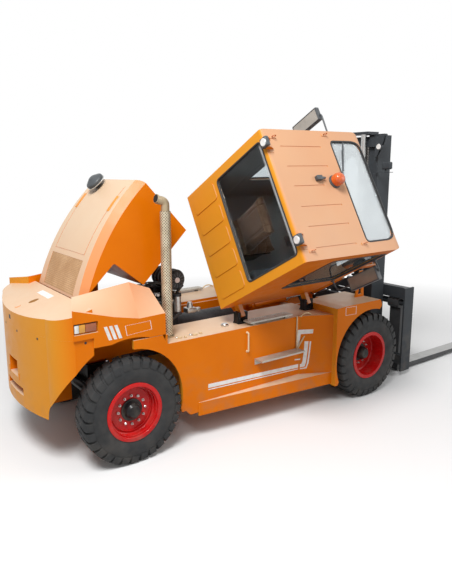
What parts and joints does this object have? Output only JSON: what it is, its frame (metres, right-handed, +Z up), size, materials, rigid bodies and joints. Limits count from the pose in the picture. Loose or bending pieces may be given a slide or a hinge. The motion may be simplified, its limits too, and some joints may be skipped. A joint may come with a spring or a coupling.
{
  "type": "diesel forklift truck",
  "caption": "Heavy diesel forklift truck with its cab tilted sideways and its hood raised, dual drive wheels, a telescopic mast and long forks.",
  "frame": {"origin": "middle of the footprint, on the ground, with the cab tilted and the forks lowered as at rest", "axes": "+X forward, from the counterweight to the fork tips; +Y to the driver's left; +Z up. The truck's centre plane is at y = +0.441 m, because the tilted cab widens the footprint on the right."},
  "size_m": [8.065, 3.7257, 4.0533],
  "materials": {
    "amber_plastic": "gloss",
    "black_paint": "satin enamel",
    "bright_steel": "polished",
    "cast_grey": "rough painted",
    "clear_glass": "polished",
    "lamp_plastic": "gloss",
    "mesh_steel": "perforated",
    "orange_paint": "gloss enamel",
    "red_paint": "gloss enamel",
    "seat_cloth": "woven",
    "slate_paint": "satin enamel",
    "trim_plastic": "textured",
    "tyre_rubber": "matt"
  },
  "bodies": {
    "chassis": {"chassis_frame": "orange_paint", "steer_axle": "black_paint", "drive_axle": "black_paint", "side_tank_left": "orange_paint", "side_tank_right": "orange_paint", "front_fender_left": "orange_paint", "front_fender_right": "orange_paint", "counterweight": "orange_paint", "rear_cowl": "orange_paint", "tail_lamps": "lamp_plastic", "engine": "cast_grey", "radiator": "black_paint", "air_cleaner": "black_paint", "exhaust_stack": "mesh_steel", "cab_hinge_brackets": "black_paint", "steps": "mesh_steel"},
    "knuckle_left": {"knuckle_left": "black_paint"},
    "knuckle_right": {"knuckle_right": "black_paint"},
    "rear_wheel_left": {"rear_tyre_left": "tyre_rubber", "rear_rim_left": "red_paint", "rear_hub_left": "black_paint"},
    "rear_wheel_right": {"rear_tyre_right": "tyre_rubber", "rear_rim_right": "red_paint", "rear_hub_right": "black_paint"},
    "front_wheels_left": {"front_tyres_left": "tyre_rubber", "front_rims_left": "red_paint", "front_hub_left": "black_paint"},
    "front_wheels_right": {"front_tyres_right": "tyre_rubber", "front_rims_right": "red_paint", "front_hub_right": "black_paint"},
    "hood": {"hood": "orange_paint", "pre_cleaner": "trim_plastic"},
    "cab": {"cab_shell": "orange_paint", "cab_glass": "clear_glass", "seat_frame": "black_paint", "seat_cushion": "seat_cloth", "seat_back": "seat_cloth", "steering_column": "trim_plastic", "steering_wheel": "trim_plastic", "mirrors": "trim_plastic", "beacon": "amber_plastic"},
    "door_left": {"door_left": "orange_paint", "door_glass_left": "clear_glass"},
    "cab_tilt_barrel": {"cab_tilt_barrel": "black_paint"},
    "cab_tilt_rod": {"cab_tilt_rod": "bright_steel"},
    "mast_outer": {"mast_outer": "slate_paint", "lift_cylinders": "black_paint"},
    "mast_inner": {"mast_inner": "slate_paint"},
    "carriage": {"carriage": "slate_paint"},
    "fork_left": {"fork_left": "black_paint"},
    "fork_right": {"fork_right": "black_paint"},
    "tilt_barrels": {"tilt_barrels": "black_paint"},
    "tilt_rods": {"tilt_rods": "bright_steel"}
  },
  "joints": [
    {"name": "steer_left", "type": "hinge", "parent": "chassis", "child": "knuckle_left", "pos_m": [-3.048, 1.241, 0.612], "axis": [0, 0, 1], "range_deg": [-45, 45]},
    {"name": "rear_wheel_left_spin", "type": "hinge", "parent": "knuckle_left", "child": "rear_wheel_left", "pos_m": [-3.048, 1.471, 0.612], "axis": [0, 1, 0], "continuous": true},
    {"name": "front_wheels_left_spin", "type": "hinge", "parent": "chassis", "child": "front_wheels_left", "pos_m": [0.612, 1.531, 0.612], "axis": [0, 1, 0], "continuous": true},
    {"name": "steer_right", "type": "hinge", "parent": "chassis", "child": "knuckle_right", "pos_m": [-3.048, -0.359, 0.612], "axis": [0, 0, 1], "range_deg": [-45, 45]},
    {"name": "rear_wheel_right_spin", "type": "hinge", "parent": "knuckle_right", "child": "rear_wheel_right", "pos_m": [-3.048, -0.589, 0.612], "axis": [0, 1, 0], "continuous": true},
    {"name": "front_wheels_right_spin", "type": "hinge", "parent": "chassis", "child": "front_wheels_right", "pos_m": [0.612, -0.649, 0.612], "axis": [0, 1, 0], "continuous": true},
    {"name": "hood_lift", "type": "hinge", "parent": "chassis", "child": "hood", "pos_m": [-3.428, 0.441, 1.8], "axis": [0, -1, 0], "range_deg": [-43, 0]},
    {"name": "cab_tilt", "type": "hinge", "parent": "chassis", "child": "cab", "pos_m": [-0.7665, -0.4628, 1.4218], "axis": [1, 0, 0], "range_deg": [-61.46, 0]},
    {"name": "door_left_swing", "type": "hinge", "parent": "cab", "child": "door_left", "pos_m": [-1.09, -0.31163, 3.28651], "axis": [0, -0.8785, 0.4778], "range_deg": [0, 80]},
    {"name": "mast_tilt", "type": "hinge", "parent": "chassis", "child": "mast_outer", "pos_m": [1.242, 0.441, 0.52], "axis": [0, 1, 0], "range_deg": [-12, 6]},
    {"name": "mast_lift", "type": "slide", "parent": "mast_outer", "child": "mast_inner", "axis": [0, 0, 1], "range_m": [0, 1.5]},
    {"name": "carriage_lift", "type": "slide", "parent": "mast_inner", "child": "carriage", "axis": [0, 0, 1], "range_m": [0, 1.5]},
    {"name": "fork_left_shift", "type": "slide", "parent": "carriage", "child": "fork_left", "axis": [0, 1, 0], "range_m": [-0.5, 0.1]},
    {"name": "fork_right_shift", "type": "slide", "parent": "carriage", "child": "fork_right", "axis": [0, 1, 0], "range_m": [-0.1, 0.5]},
    {"name": "tilt_barrels_swing", "type": "hinge", "parent": "chassis", "child": "tilt_barrels", "pos_m": [-0.098, 0.441, 1.09], "axis": [0, 1, 0], "range_deg": [-1.2, 1.2]},
    {"name": "tilt_rods_stroke", "type": "slide", "parent": "tilt_barrels", "child": "tilt_rods", "axis": [0.9989, 0, 0.0468], "range_m": [-0.135, 0.07]},
    {"name": "cab_cylinder_swing", "type": "hinge", "parent": "chassis", "child": "cab_tilt_barrel", "pos_m": [0.252, -0.059, 1.4], "axis": [1, 0, 0], "range_deg": [-49.33, 1]},
    {"name": "cab_cylinder_stroke", "type": "slide", "parent": "cab_tilt_barrel", "child": "cab_tilt_rod", "axis": [0, -0.8672, 0.498], "range_m": [-0.333, 0.01]}
  ],
  "couplings": [
    {"joint": "steer_right", "follows": "steer_left", "ratio": 1},
    {"joint": "carriage_lift", "follows": "mast_lift", "ratio": 1},
    {"joint": "tilt_barrels_swing", "follows": "mast_tilt", "ratio": -0.055},
    {"joint": "tilt_rods_stroke", "follows": "mast_tilt", "m_per_rad": 0.62706},
    {"joint": "cab_cylinder_swing", "follows": "cab_tilt", "ratio": 0.78642},
    {"joint": "cab_cylinder_stroke", "follows": "cab_tilt", "m_per_rad": 0.30114}
  ]
}
